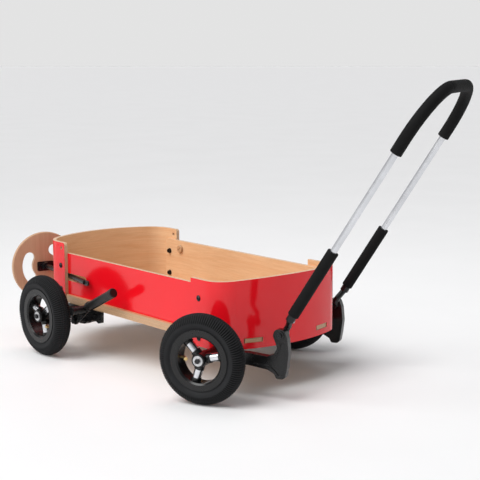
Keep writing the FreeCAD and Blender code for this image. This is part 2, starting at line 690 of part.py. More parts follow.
def valve(side, angle):
    """Bent valve stem from the rim floor inwards and then outboard."""
    turn = math.radians(angle)
    out = vec(math.cos(turn), 0, math.sin(turn))
    lean = vec(0, side, 0)
    foot = out * 71
    knee = out * 54
    tip = knee - out * 13 + lean * 17
    stem = joined([rod(4.0, foot, knee), Part.makeSphere(4.0, knee), rod(4.0, knee, tip)])
    cap_start = tip - (tip - knee).normalize() * 9
    return joined([stem, rod(5.2, cap_start, tip)])


def valve_hole(angle):
    """Hole through the rim floor for the valve stem."""
    turn = math.radians(angle)
    out = vec(math.cos(turn), 0, math.sin(turn))
    return rod(4.1, out * 60, out * 73)


def place_wheel(shape, x, side, steer):
    placed = shape.copy()
    placed.translate(vec(x, side * TRACK_HALF, WHEEL_RADIUS))
    if steer:
        placed = steered(placed)
    return placed


def wheel_nodes(name, x, side, steer, phase, valve_angle):
    shapes = {
        "tyre": tyre(),
        "wheel": wheel_frame(phase).cut(valve_hole(valve_angle)),
        "spokes": spoke_sleeves(phase),
        "bearings": bearings(),
        "valve": valve(side, valve_angle),
    }
    return {f"{kind}_{name}": place_wheel(shape, x, side, steer) for kind, shape in shapes.items()}


# ---- brake levers -------------------------------------------------------------------------------
def brake_frame():
    angle = math.radians(BRAKE_GRIP_ANGLE)
    along = vec(math.cos(angle), 0, math.sin(angle))
    up = vec(-math.sin(angle), 0, math.cos(angle))
    return along, up


def brake_lever(side):
    """Pressed blade with its pivot eye and the cross peg that bears on the tyre."""
    along, up = brake_frame()
    knee = vec(162, 0, 161)
    start_low = knee - up * 9
    end_low = knee + along * 158 - up * 9
    end_high = knee + along * 158 + up * 9
    start_high = knee + up * 9
    corners = [(75, 101, 11), (97, 101, 11), (start_low.x, start_low.z, 30), (end_low.x, end_low.z, 7),
               (end_high.x, end_high.z, 7), (start_high.x, start_high.z, 30), (75, 125, 11)]
    inner = side * BRAKE_PLATE_INNER
    outer = side * (BRAKE_PLATE_INNER + BRAKE_PLATE)
    blade = plate_xz(corners, inner, outer)
    peg = rod(12.0, vec(152, inner, 161), vec(152, side * 322, 161))
    cap = rod(13.0, vec(152, side * 322, 161), vec(152, side * 328, 161))
    lever = joined([blade, peg, cap])
    return lever.cut(rod(5.0 + RUNNING_CLEARANCE, vec(BRAKE_PIVOT_X, side * 260, BRAKE_PIVOT_Z),
                         vec(BRAKE_PIVOT_X, side * 290, BRAKE_PIVOT_Z)))


def brake_grip(side):
    along, up = brake_frame()
    middle = side * (BRAKE_PLATE_INNER + BRAKE_PLATE / 2.0)
    origin = vec(162, middle, 161) + up * 6
    sleeve = rod(13.5, origin + along * 8, origin + along * 150)
    collar = rod(15.5, origin + along * 8, origin + along * 17)
    cap = rod(15.0, origin + along * 146, origin + along * 162)
    cap = cap.makeFillet(4.0, [max(cap.Edges, key=lambda edge: (edge.CenterOfMass - origin).dot(along))])
    return joined([sleeve, collar, cap]).cut(brake_lever(side))


def brake_pivots():
    bolts = []
    for side in (-1, 1):
        def at(y):
            return vec(BRAKE_PIVOT_X, side * y, BRAKE_PIVOT_Z)

        shank = rod(5.0, at(211), at(278))
        spacer = rod(9.0, at(REAR_ARM_OUTER), at(BRAKE_PLATE_INNER - BODY_GAP))
        head = rod(9.0, at(BRAKE_PLATE_INNER + BRAKE_PLATE + BODY_GAP), at(283))
        nut = hexagon(16.0, at(207.5), at(REAR_ARM_INNER))
        bolts.append(joined([shank, spacer, head, nut]))
    return group(bolts)


# ---- stowed steering wheel ----------------------------------------------------------------------
def column_point(x):
    slope = math.tan(math.radians(COLUMN_ANGLE))
    return vec(x, -213.0 + slope * (x + 24.0), COLUMN_Z)


def column_rod(radius, x0, x1):
    return rod(radius, column_point(x0), column_point(x1))


def steering_place(shape):
    """Moves a shape drawn round the X axis on to the stowed column."""
    placed = shape.copy()
    placed.rotate(vec(0, 0, 0), vec(0, 0, 1), COLUMN_ANGLE)
    placed.translate(column_point(-261.0))
    return placed


def steering_wheel():
    """Plywood disc with two kidney-shaped finger openings."""
    disc = rod(STEERING_RADIUS, vec(-PLY, 0, 0), vec(0, 0, 0))
    rims = [edge for edge in disc.Edges if edge.Closed and len(edge.Vertexes) == 1]
    disc = disc.makeFillet(3.5, rims)
    for side in (-1, 1):
        disc = disc.cut(finger_opening(90 + STEERING_TURN + side * 79.5))
    disc = disc.cut(rod(COLUMN_RADIUS, vec(-PLY - 1, 0, 0), vec(1, 0, 0)))
    for y, z in hub_screw_places():
        disc = disc.cut(rod(2.5, vec(-PLY - 1, y, z), vec(1, y, z)))
    return steering_place(disc)


def finger_opening(centre):
    """Kidney-shaped cutter round the wheel centre, with its middle at the given angle."""
    def at(radius, angle):
        turn = math.radians(angle)
        return vec(-PLY - 1, radius * math.cos(turn), radius * math.sin(turn))

    through = vec(PLY + 2, 0, 0)
    half = FINGER_SPAN / 2.0
    inner = FINGER_MIDDLE - FINGER_HALF_WIDTH
    outer = FINGER_MIDDLE + FINGER_HALF_WIDTH
    low, high = centre - half, centre + half
    edges = [
        Part.Arc(at(outer, low), at(outer, centre), at(outer, high)).toShape(),
        Part.makeLine(at(outer, high), at(inner, high)),
        Part.Arc(at(inner, high), at(inner, centre), at(inner, low)).toShape(),
        Part.makeLine(at(inner, low), at(outer, low)),
    ]
    cutter = Part.Face(Part.Wire(edges)).extrude(through)
    for angle in (low, high):
        start = at(FINGER_MIDDLE, angle)
        cutter = cutter.fuse(rod(FINGER_HALF_WIDTH, start, start + through))
    return cutter


def hub_screw_places():
    return [(-20.0, 5.0), (20.0, 5.0), (-20.0, -9.0), (20.0, -9.0)]


def steering_hub():
    """Plate that clamps the column to the disc."""
    corners = [(-28, -18, 4), (28, -18, 4), (28, 14, 4), (-28, 14, 4)]
    edges = rounded_edges(corners, lambda p: vec(0, p.x, p.y))
    plate = Part.Face(Part.Wire(edges)).extrude(vec(5, 0, 0))
    sleeve = rod(13.0, vec(5, 0, 0), vec(24, 0, 0))
    hub = joined([plate, sleeve]).cut(rod(COLUMN_RADIUS, vec(-1, 0, 0), vec(30, 0, 0)))
    for y, z in hub_screw_places():
        screw = joined([rod(2.5, vec(-10, y, z), vec(5, y, z)), rod(4.5, vec(5, y, z), vec(7.2, y, z))])
        hub = hub.fuse(screw)
    return steering_place(hub.removeSplitter())


def steering_column():
    length = (column_point(90.0) - column_point(-261.0)).Length
    tube = rod(COLUMN_RADIUS, vec(-PLY, 0, 0), vec(length, 0, 0))
    bore = rod(COLUMN_RADIUS - 2.0, vec(-PLY + 3, 0, 0), vec(length - 20, 0, 0))
    corners = [(length - 18, -8, 0), (length + 26, -8, 7.9), (length + 26, 8, 7.9), (length - 18, 8, 0)]
    tongue = plate_xz(corners, -3.0, 3.0)
    hole = rod(3.5, vec(length + 17, -5, 0), vec(length + 17, 5, 0))
    return steering_place(joined([tube.cut(bore), tongue]).cut(hole))


# ---- assembly -----------------------------------------------------------------------------------
def build_nodes():
    nodes = {
        "deck": deck(),
        "subfloor": subfloor(),
        "side_panel_right": side_panel(-1),
        "side_panel_left": side_panel(1),
        "rear_panel": rear_panel(),
        "front_panel": front_panel(),
        "panel_bolts": panel_bolts(),
        "panel_nuts": panel_nuts(),
        "wall_disc": wall_disc(),
        "rear_arm_right": rear_arm(-1),
        "rear_arm_left": rear_arm(1),
        "rear_arm_screws": rear_arm_screws(),
        "rear_axle": rear_axle(),
        "rear_axle_bolts": group([axle_bolt(REAR_AXLE_X, side) for side in (-1, 1)]),
        "turntable_plate": turntable_plate(),
        "turntable_screws": turntable_screws(),
        "kingpin": kingpin(),
        "kingpin_nut": kingpin_nut(),
        "brake_pivots": brake_pivots(),
        "front_beam": front_beam(),
        "front_arm_right": front_arm(-1),
        "front_arm_left": front_arm(1),
        "front_axles": front_axles(),
        "front_axle_bolts": group([steered(axle_bolt(KINGPIN_X, side)) for side in (-1, 1)]),
        "front_arm_bolts": front_arm_bolts(),
        "handle_pivots": handle_pivots(),
        "handle_tube": handle_tube(),
        "top_grip": top_grip(),
        "lower_grip_right": lower_grip(-1),
        "lower_grip_left": lower_grip(1),
        "handle_end_right": handle_end(-1),
        "handle_end_left": handle_end(1),
        "handle_rivets": handle_rivets(),
        "brake_lever_right": brake_lever(-1),
        "brake_lever_left": brake_lever(1),
        "brake_grip_right": brake_grip(-1),
        "brake_grip_left": brake_grip(1),
        "steering_wheel": steering_wheel(),
        "steering_hub": steering_hub(),
        "steering_column": steering_column(),
    }
    for name, (x, side, steer, phase, valve_angle) in WHEELS.items():
        nodes.update(wheel_nodes(name, x, side, steer, phase, valve_angle))
    return nodes


def main():
    os.makedirs("parts", exist_ok=True)
    nodes = build_nodes()
    box = FreeCAD.BoundBox()
    for shape in nodes.values():
        box.add(shape.optimalBoundingBox(True, False))
    to_origin = vec(-(box.XMin + box.XMax) / 2.0, -(box.YMin + box.YMax) / 2.0, -box.ZMin)
    for name, shape in nodes.items():
        shape.translate(to_origin)
        shape.exportStep(f"parts/{name}.step")
    print("nodes", len(nodes), "origin moved by", tuple(round(value, 4) for value in to_origin))


main()
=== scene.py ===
"""Looks for the plywood pull wagon: procedural materials, air tyres with a blocked tread and foam grips,
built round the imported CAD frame.  Units are metres, in the CAD part's own frame."""

import json
import math

import bpy
import numpy as np
from mathutils import Matrix, Vector, noise


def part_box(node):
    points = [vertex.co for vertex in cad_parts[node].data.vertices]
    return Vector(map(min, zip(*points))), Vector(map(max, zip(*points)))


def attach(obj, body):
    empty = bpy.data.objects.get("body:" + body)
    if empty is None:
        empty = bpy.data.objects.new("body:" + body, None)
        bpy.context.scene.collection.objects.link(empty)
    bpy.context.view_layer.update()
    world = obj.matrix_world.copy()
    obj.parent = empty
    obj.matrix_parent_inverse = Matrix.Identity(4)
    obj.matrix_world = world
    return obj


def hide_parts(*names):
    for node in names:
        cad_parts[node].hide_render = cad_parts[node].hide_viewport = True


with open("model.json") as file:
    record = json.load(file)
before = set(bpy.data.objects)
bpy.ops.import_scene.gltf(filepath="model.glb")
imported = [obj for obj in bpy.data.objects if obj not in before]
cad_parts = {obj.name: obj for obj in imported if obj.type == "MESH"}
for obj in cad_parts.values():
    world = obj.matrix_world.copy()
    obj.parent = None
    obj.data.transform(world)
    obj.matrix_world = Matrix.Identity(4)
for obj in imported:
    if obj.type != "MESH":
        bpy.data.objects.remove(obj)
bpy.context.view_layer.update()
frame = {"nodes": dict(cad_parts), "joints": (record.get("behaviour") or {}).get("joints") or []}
nodes = frame["nodes"]
joints = {joint["name"]: joint for joint in frame["joints"]}
WHEEL_NAMES = ("rear_right", "rear_left", "front_right", "front_left")


# ---- material building blocks -------------------------------------------------------------------
class Shader:
    """A node material on a Principled shader, with short calls for the nodes used here."""

    def __init__(self, name, **settings):
        self.material = bpy.data.materials.new(name)
        self.material.use_nodes = True
        self.tree = self.material.node_tree
        self.tree.nodes.clear()
        output = self.add("ShaderNodeOutputMaterial")
        self.bsdf = self.add("ShaderNodeBsdfPrincipled")
        self.tree.links.new(self.bsdf.outputs["BSDF"], output.inputs["Surface"])
        for key, value in settings.items():
            self.bsdf.inputs[key.replace("_", " ")].default_value = value
        self.place = self.add("ShaderNodeTexCoord").outputs["Object"]

    def add(self, kind, **values):
        node = self.tree.nodes.new(kind)
        for key, value in values.items():
            setattr(node, key, value)
        return node

    def put(self, value, socket):
        if isinstance(value, bpy.types.NodeSocket):
            self.tree.links.new(value, socket)
        else:
            socket.default_value = value

    def math(self, operation, a, b=0.0):
        node = self.add("ShaderNodeMath", operation=operation)
        self.put(a, node.inputs[0])
        self.put(b, node.inputs[1])
        return node.outputs[0]

    def stretch(self, scale, source=None):
        node = self.add("ShaderNodeMapping")
        self.put(self.place if source is None else source, node.inputs["Vector"])
        node.inputs["Scale"].default_value = scale
        return node.outputs[0]

    def drawn_out(self, direction, share):
        """Object coordinates with most of their run along one direction taken out, for streaks along it."""
        run = self.add("ShaderNodeVectorMath", operation="DOT_PRODUCT")
        self.put(self.place, run.inputs[0])
        run.inputs[1].default_value = direction
        taken = self.add("ShaderNodeVectorMath", operation="SCALE")
        taken.inputs[0].default_value = direction
        self.put(self.math("MULTIPLY", run.outputs["Value"], share), taken.inputs["Scale"])
        rest = self.add("ShaderNodeVectorMath", operation="SUBTRACT")
        self.put(self.place, rest.inputs[0])
        self.put(taken.outputs[0], rest.inputs[1])
        return rest.outputs[0]

    def noise(self, vector, scale, detail=4.0, roughness=0.55, distortion=0.0):
        node = self.add("ShaderNodeTexNoise")
        self.put(vector, node.inputs["Vector"])
        node.inputs["Scale"].default_value = scale
        node.inputs["Detail"].default_value = detail
        node.inputs["Roughness"].default_value = roughness
        node.inputs["Distortion"].default_value = distortion
        return node.outputs["Fac"]

    def cells(self, vector, scale):
        """Distance to the middle of the nearest of many scattered cells."""
        node = self.add("ShaderNodeTexVoronoi")
        self.put(vector, node.inputs["Vector"])
        node.inputs["Scale"].default_value = scale
        return node.outputs["Distance"]

    def ramp(self, source, *stops):
        node = self.add("ShaderNodeValToRGB")
        self.put(source, node.inputs["Fac"])
        elements = node.color_ramp.elements
        while len(elements) < len(stops):
            elements.new(0.5)
        for element, (position, colour) in zip(elements, stops):
            element.position = position
            element.color = (*colour, 1.0) if hasattr(colour, "__len__") else (colour, colour, colour, 1.0)
        return node.outputs["Color"]

    def blend(self, factor, a, b, mode="MIX"):
        node = self.add("ShaderNodeMix", data_type="RGBA", blend_type=mode)
        self.put(factor, node.inputs["Factor"])
        for value, socket in ((a, node.inputs[6]), (b, node.inputs[7])):
            self.put((*value, 1.0) if isinstance(value, tuple) and len(value) == 3 else value, socket)
        return node.outputs[2]

    def either(self, factor, without, fully):
        """A number that goes from one value to the other as the factor goes from 0 to 1."""
        node = self.add("ShaderNodeMix", data_type="FLOAT")
        for socket, value in ((0, factor), (2, without), (3, fully)):
            self.put(value, node.inputs[socket])
        return node.outputs[0]

    def span(self, value, low, high, to_low, to_high):
        """A value taken from one range to another, and held at the ends."""
        node = self.add("ShaderNodeMapRange")
        self.put(value, node.inputs["Value"])
        for key, number in (("From Min", low), ("From Max", high), ("To Min", to_low), ("To Max", to_high)):
            node.inputs[key].default_value = number
        return node.outputs["Result"]

    def attribute(self, name):
        return self.add("ShaderNodeAttribute", attribute_name=name).outputs["Fac"]

    def relief(self, height, distance, edge=0.0):
        """Bump from a height of 0 to 1, over normals rounded at the edges."""
        node = self.add("ShaderNodeBump")
        self.put(height, node.inputs["Height"])
        node.inputs["Distance"].default_value = distance
        if edge:
            rounding = self.add("ShaderNodeBevel", samples=6)
            rounding.inputs["Radius"].default_value = edge
            self.put(rounding.outputs["Normal"], node.inputs["Normal"])
        self.put(node.outputs["Normal"], self.bsdf.inputs["Normal"])

    def edge_mask(self, radius):
        """1 along worn edges, 0 on faces, from how far the rounded normal leans away."""
        rounding = self.add("ShaderNodeBevel", samples=6)
        rounding.inputs["Radius"].default_value = radius
        face = self.add("ShaderNodeNewGeometry").outputs["Normal"]
        lean = self.add("ShaderNodeVectorMath", operation="DOT_PRODUCT")
        self.put(rounding.outputs["Normal"], lean.inputs[0])
        self.put(face, lean.inputs[1])
        return self.span(lean.outputs["Value"], 1.0, 0.8, 0.0, 1.0)


def wood_grain(shader, along, pale, warm, streak):
    """Colour and height of a lacquered veneer whose grain runs along the given object axes."""
    wide = tuple(1.0 if flag else 9.0 for flag in along)
    fine = tuple(6.0 if flag else 260.0 for flag in along)
    pores = tuple(45.0 if flag else 1100.0 for flag in along)
    bands = shader.noise(shader.stretch(wide), 2.4, 6.0, 0.62, 1.3)
    fibres = shader.noise(shader.stretch(fine), 1.5, 5.0, 0.7, 0.25)
    ticks = shader.noise(shader.stretch(pores), 1.0, 2.0, 0.5)
    colour = shader.ramp(bands, (0.28, warm), (0.5, pale), (0.72, warm))
    colour = shader.blend(shader.span(fibres, 0.35, 0.75, 0.0, 0.34), colour, streak)
    colour = shader.blend(shader.span(ticks, 0.64, 0.74, 0.0, 0.40), colour, streak)
    cloud = shader.noise(shader.place, 3.5, 2.0, 0.5)
    tint = shader.ramp(cloud, (0.3, (0.90, 0.88, 0.86)), (0.7, (1.0, 1.0, 1.0)))
    colour = shader.blend(1.0, colour, tint, "MULTIPLY")
    return colour, fibres


VENEER = 0.0004
RED_SKIN = 0.0006


def ply_edge(shader, layers, thickness, tone):
    """Colour of the glued layers on a cut edge, from the depth attribute, toned down by tone."""
    steps = shader.math("MULTIPLY", shader.attribute("depth"), layers / thickness)
    wobble = shader.math("MULTIPLY", shader.noise(shader.place, 60.0, 2.0), 0.35)
    phase = shader.math("FRACT", shader.math("ADD", steps, wobble))
    layers_seen = ((0.0, (0.24, 0.12, 0.06)), (0.10, (0.80, 0.58, 0.38)), (0.46, (0.84, 0.62, 0.42)),
                   (0.56, (0.56, 0.33, 0.18)), (0.92, (0.60, 0.37, 0.21)))
    toned = [(spot, tuple(part * share for part, share in zip(colour, tone))) for spot, colour in layers_seen]
    stripes = shader.ramp(phase, *toned)
    flecks = shader.noise(shader.stretch((90.0, 90.0, 90.0)), 6.0, 3.0, 0.6)
    dark = tuple(part * share for part, share in zip((0.40, 0.22, 0.11), tone))
    return shader.blend(shader.span(flecks, 0.5, 0.8, 0.0, 0.45), stripes, dark)


def ply_material(name, along, thickness, pale, warm, streak, skin=False, layers=4.5, tone=(1.0, 1.0, 1.0)):
    """Plywood: veneer on the faces, layers on the cut edges and, with skin, glossy red outside."""
    shader = Shader(name, Roughness=0.32, Specular_IOR_Level=0.45, Coat_Roughness=0.10)
    veneer, fibres = wood_grain(shader, along, pale, warm, streak)
    edge = ply_edge(shader, layers, thickness, tone)
    depth = shader.attribute("depth")
    inner = shader.math("GREATER_THAN", depth, thickness - VENEER)
    outer = shader.math("LESS_THAN", depth, RED_SKIN if skin else VENEER)
    colour = shader.blend(inner, edge, veneer)
    rough = shader.span(fibres, 0.3, 0.8, 0.30, 0.46)
    height = fibres
    if skin:
        drift = shader.noise(shader.place, 2.2, 3.0, 0.5)
        red = shader.ramp(drift, (0.3, (0.74, 0.0035, 0.010)), (0.7, (0.82, 0.006, 0.014)))
        dust = shader.noise(shader.place, 1400.0, 1.0, 0.5)
        red = shader.blend(shader.span(dust, 0.72, 0.80, 0.0, 0.12), red, (0.80, 0.16, 0.15))
        scuffs = shader.noise(shader.stretch((6.0, 6.0, 34.0)), 9.0, 6.0, 0.7)
        colour = shader.blend(outer, colour, red)
        gloss = shader.span(scuffs, 0.35, 0.75, 0.09, 0.20)
        rough = shader.either(outer, rough, gloss)
        peel = shader.noise(shader.place, 220.0, 2.0, 0.5)
        height = shader.either(outer, fibres, shader.math("MULTIPLY", peel, 0.25))
    else:
        colour = shader.blend(outer, colour, veneer)
    lacquer = shader.math("MULTIPLY", inner, 0.45) if skin else shader.math("MULTIPLY", outer, 0.25)
    shader.put(lacquer, shader.bsdf.inputs["Coat Weight"])
    shader.put(colour, shader.bsdf.inputs["Base Color"])
    shader.put(rough, shader.bsdf.inputs["Roughness"])
    shader.relief(height, 0.00012, 0.0009)
    return shader.material


def moulding_material(name, colour, roughness, grain, relief_depth, edge=0.0007):
    """Moulded plastic or rubber with a fine grain, faint mottling and paler rubbed edges."""
    shader = Shader(name, Roughness=roughness, Specular_IOR_Level=0.36)
    mottle = shader.noise(shader.place, 26.0, 5.0, 0.6)
    light = tuple(min(1.0, part * 1.45 + 0.004) for part in colour)
    base = shader.ramp(mottle, (0.3, colour), (0.75, light))
    rubbed = tuple(min(1.0, part * 2.4 + 0.008) for part in colour)
    patchy = shader.span(shader.noise(shader.place, 70.0, 3.0), 0.45, 0.7, 0.0, 0.5)
    wear = shader.math("MULTIPLY", shader.edge_mask(edge * 1.6), patchy)
    base = shader.blend(wear, base, rubbed)
    shader.put(base, shader.bsdf.inputs["Base Color"])
    sheen = shader.span(mottle, 0.25, 0.8, roughness - 0.06, roughness + 0.10)
    shader.put(sheen, shader.bsdf.inputs["Roughness"])
    shader.relief(shader.noise(shader.place, grain, 3.0, 0.6), relief_depth, edge)
    return shader.material


def metal_material(name, colour, roughness, streak_scale, edge=0.0005, along=None):
    """Bare metal with fine streaks and patchy sheen; along is the direction that the streaks follow."""
    shader = Shader(name, Metallic=1.0, Roughness=roughness)
    cloud = shader.noise(shader.place, 18.0, 5.0, 0.6)
    place = shader.place if along is None else shader.drawn_out(along, 0.97)
    streaks = shader.noise(shader.stretch(streak_scale, place), 1.0, 4.0, 0.65)
    dull = tuple(part * 0.80 for part in colour)
    base = shader.ramp(cloud, (0.25, dull), (0.6, colour))
    base = shader.blend(shader.span(streaks, 0.5, 0.8, 0.0, 0.3), base, dull)
    shader.put(base, shader.bsdf.inputs["Base Color"])
    shine = shader.math("ADD", shader.span(cloud, 0.2, 0.8, roughness - 0.05, roughness + 0.07),
                        shader.span(streaks, 0.3, 0.7, -0.03, 0.05))
    shader.put(shine, shader.bsdf.inputs["Roughness"])
    shader.relief(streaks, 0.00003, edge)
    return shader.material


def foam_material(name):
    """Closed-cell foam: matt, with a fine pitted skin, painted shade in the pits and soft scuffs."""
    shader = Shader(name, Roughness=0.85, Specular_IOR_Level=0.16)
    cloud = shader.noise(shader.place, 14.0, 4.0, 0.6)
    pits = shader.cells(shader.place, 900.0)
    skin = shader.noise(shader.place, 420.0, 4.0, 0.65)
    base = shader.ramp(cloud, (0.3, (0.0042, 0.0042, 0.0044)), (0.7, (0.0075, 0.0075, 0.0078)))
    # painted shade: the colour darkens towards the bottom of each pit, where the bump below is lowest
    base = shader.blend(shader.span(pits, 0.05, 0.35, 0.55, 0.0), base, (0.003, 0.003, 0.003))
    base = shader.blend(shader.span(skin, 0.6, 0.8, 0.0, 0.3), base, (0.020, 0.020, 0.021))
    shader.put(base, shader.bsdf.inputs["Base Color"])
    shader.put(shader.span(skin, 0.3, 0.7, 0.72, 0.92), shader.bsdf.inputs["Roughness"])
    shader.relief(shader.math("ADD", shader.math("MULTIPLY", pits, 0.6), skin), 0.00035)
    return shader.material


def tyre_material(name):
    """Dark grey tyre rubber, with painted shade taking the grooves nearly to black, and worn paler on the
    crown.
    """
    shader = Shader(name, Roughness=0.55, Specular_IOR_Level=0.14)
    cloud = shader.noise(shader.place, 16.0, 5.0, 0.6)
    grain = shader.noise(shader.place, 750.0, 3.0, 0.6)
    base = shader.ramp(cloud, (0.3, (0.0130, 0.0133, 0.0144)), (0.72, (0.0200, 0.0205, 0.0220)))
    # painted shade: the tread grooves and the gaps between the shoulder blocks are darkened almost to black,
    # in step with their depth
    groove = shader.attribute("groove")
    base = shader.blend(shader.math("MULTIPLY", groove, 0.95), base, (0.0003, 0.0003, 0.0004))
    crown = shader.math("MULTIPLY", shader.attribute("crown"), shader.span(cloud, 0.35, 0.7, 0.1, 0.45))
    base = shader.blend(crown, base, (0.030, 0.030, 0.032))
    shader.put(base, shader.bsdf.inputs["Base Color"])
    shader.put(shader.span(cloud, 0.25, 0.8, 0.52, 0.74), shader.bsdf.inputs["Roughness"])
    shader.relief(grain, 0.00008)
    return shader.material


# ---- the handle's plane, which the streaks of its tube and the foam grips follow -------------------
fold = joints["handle_fold"]
HANDLE_TILT = math.radians(58.25)
HALF_HANDLE = 0.230
HANDLE_TOP = 0.7975
HANDLE_BEND = 0.155
TUBE_RADIUS = 0.0095
lateral = Vector(fold["axis"]).normalized()
forward = Vector((lateral.y, -lateral.x, 0.0))
up_leg = forward * math.cos(HANDLE_TILT) + Vector((0.0, 0.0, math.sin(HANDLE_TILT)))
plane_normal = lateral.cross(up_leg).normalized()
pivot = Vector(fold["pos_m"])


# ---- materials and the nodes that wear them --------------------------------------------------------
MAPLE = dict(pale=(0.92, 0.60, 0.35), warm=(0.85, 0.49, 0.26), streak=(0.55, 0.26, 0.11))
BIRCH = dict(pale=(0.66, 0.39, 0.21), warm=(0.54, 0.29, 0.15), streak=(0.34, 0.16, 0.075))
BEECH = dict(pale=(0.66, 0.43, 0.27), warm=(0.58, 0.35, 0.21), streak=(0.38, 0.20, 0.11))
PLY = 0.012

materials = {
    "red_side": ply_material("red_side", (True, False, False), PLY, skin=True, **MAPLE),
    "red_bent": ply_material("red_bent", (True, True, False), PLY, skin=True, **MAPLE),
    "floor_ply": ply_material("floor_ply", (True, False, False), PLY, tone=(0.74, 0.68, 0.62), **BIRCH),
    "steering_ply": ply_material("steering_ply", (False, False, True), PLY, tone=(0.80, 0.72, 0.68), **BEECH),
    "black_moulding": moulding_material("black_moulding", (0.0038, 0.0038, 0.0041), 0.24, 1500.0, 0.000015),
    "black_metal": moulding_material("black_metal", (0.0045, 0.0045, 0.0048), 0.25, 1600.0, 0.000012),
    "rubber": moulding_material("rubber", (0.0045, 0.0045, 0.0045), 0.30, 1200.0, 0.00002, edge=0.0015),
    "steel": metal_material("steel", (0.62, 0.62, 0.63), 0.30, (400.0, 400.0, 60.0)),
    "dark_steel": metal_material("dark_steel", (0.045, 0.045, 0.048), 0.34, (500.0, 500.0, 90.0)),
    "aluminium": metal_material("aluminium", (0.70, 0.71, 0.74), 0.22, (700.0, 700.0, 700.0), along=up_leg),
    "brass": metal_material("brass", (0.72, 0.52, 0.24), 0.30, (300.0, 300.0, 300.0)),
    "foam": foam_material("foam"),
    "tyre_rubber": tyre_material("tyre_rubber"),
}

LOOKS = {
    "red_side": ["side_panel_right", "side_panel_left"],
    "red_bent": ["rear_panel", "front_panel"],
    "floor_ply": ["deck", "subfloor", "wall_disc"],
    "steering_ply": ["steering_wheel"],
    "black_moulding": ["rear_arm_right", "rear_arm_left", "front_arm_right", "front_arm_left",
                       "handle_end_right", "handle_end_left", "steering_hub"]
                      + [f"wheel_{name}" for name in WHEEL_NAMES],
    "black_metal": ["front_beam", "brake_lever_right", "brake_lever_left", "steering_column"],
    "rubber": ["brake_grip_right", "brake_grip_left"],
    "steel": ["rear_arm_screws", "rear_axle", "turntable_plate", "turntable_screws", "kingpin_nut",
              "front_axles", "front_arm_bolts", "handle_rivets"]
             + [f"bearings_{name}" for name in WHEEL_NAMES],
    "dark_steel": ["kingpin", "panel_bolts", "panel_nuts", "rear_axle_bolts", "front_axle_bolts",
                   "brake_pivots", "handle_pivots"],
    "aluminium": ["handle_tube"] + [f"spokes_{name}" for name in WHEEL_NAMES],
    "brass": [f"valve_{name}" for name in WHEEL_NAMES],
}


def dress(thing, material):
    for place in thing.material_slots:
        place.material = material


for look, names in LOOKS.items():
    for name in names:
        dress(nodes[name], materials[look])


# ---- depth below the outer face of each plywood piece ---------------------------------------------
CORNER_RADIUS = 0.080
CORNER_SWEEP = math.radians(69.0)
HALF_WIDTH = 0.235
ARC_RISE = math.pi / 2.0 - CORNER_SWEEP
BOW_RADIUS = (HALF_WIDTH - CORNER_RADIUS * (1.0 - math.sin(ARC_RISE))) / math.sin(ARC_RISE)
CORNER_FROM_APEX = BOW_RADIUS - (BOW_RADIUS - CORNER_RADIUS) * math.cos(ARC_RISE)


def bent_depth(node, sign):
    """Depth below the outside of a bent end panel whose bow points along sign * X."""
    low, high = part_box(node)
    middle = (low.y + high.y) / 2.0
    apex = high.x if sign > 0 else low.x

    def depth(point):
        ahead = sign * (point.x - apex) + CORNER_FROM_APEX
        aside = abs(point.y - middle)
        if ahead <= 0.0:
            return HALF_WIDTH - aside
        across = aside - (HALF_WIDTH - CORNER_RADIUS)
        if math.atan2(ahead, across) <= CORNER_SWEEP:
            return CORNER_RADIUS - math.hypot(ahead, across)
        back = sign * (point.x - apex) + BOW_RADIUS
        return BOW_RADIUS - math.hypot(back, point.y - middle)

    return depth


def write_depth(node, depth):
    mesh = nodes[node].data
    values = np.array([depth(vertex.co) for vertex in mesh.vertices], np.float32)
    layer = mesh.attributes.new("depth", "FLOAT", "POINT")
    layer.data.foreach_set("value", np.clip(values, 0.0, PLY))


right_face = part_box("side_panel_right")[0].y
left_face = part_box("side_panel_left")[1].y
slide = Vector(joints["steering_slide"]["axis"]).normalized()
rear_face = max(vertex.co.dot(slide) for vertex in nodes["steering_wheel"].data.vertices)
write_depth("side_panel_right", lambda point: point.y - right_face)
write_depth("side_panel_left", lambda point: left_face - point.y)
write_depth("rear_panel", bent_depth("rear_panel", -1))
write_depth("front_panel", bent_depth("front_panel", 1))
for board in ("deck", "subfloor"):
    board_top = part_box(board)[1].z
    write_depth(board, lambda point, top=board_top: top - point.z)
write_depth("steering_wheel", lambda point: rear_face - point.dot(slide))
disc_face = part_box("wall_disc")[0].y
write_depth("wall_disc", lambda point: point.y - disc_face)


# ---- tyres ---------------------------------------------------------------------------------------
TREAD_BLOCKS = 112
STEPS_PER_BLOCK = 10
GROOVE_DEPTH = 0.0026
CENTRE_RIB = 0.0040
MIDDLE_RIB = 0.0120
SHOULDER_RIB = 0.0090
WORN_HALF_WIDTH = 0.016
SIDE_BLOCKS_FROM = 0.1030


def arc_points(start, middle, end, count):
    """Points along the circle through three (y, radius) pairs, without the last one."""
    (ax, ay), (bx, by), (cx, cy) = start, middle, end
    scale = 2.0 * (ax * (by - cy) + bx * (cy - ay) + cx * (ay - by))
    a2, b2, c2 = ax * ax + ay * ay, bx * bx + by * by, cx * cx + cy * cy
    ux = (a2 * (by - cy) + b2 * (cy - ay) + c2 * (ay - by)) / scale
    uy = (a2 * (cx - bx) + b2 * (ax - cx) + c2 * (bx - ax)) / scale
    radius = math.hypot(ax - ux, ay - uy)
    first = math.atan2(ay - uy, ax - ux)
    last = math.atan2(cy - uy, cx - ux)
    turn = (last - first + math.pi) % (2.0 * math.pi) - math.pi
    return [(ux + radius * math.cos(first + turn * i / count),
             uy + radius * math.sin(first + turn * i / count)) for i in range(count)]


def smooth_step(low, high, value):
    """0 below low and 1 above high, with a soft rise between."""
    share = min(1.0, max(0.0, (value - low) / (high - low)))
    return share * share * (3.0 - 2.0 * share)


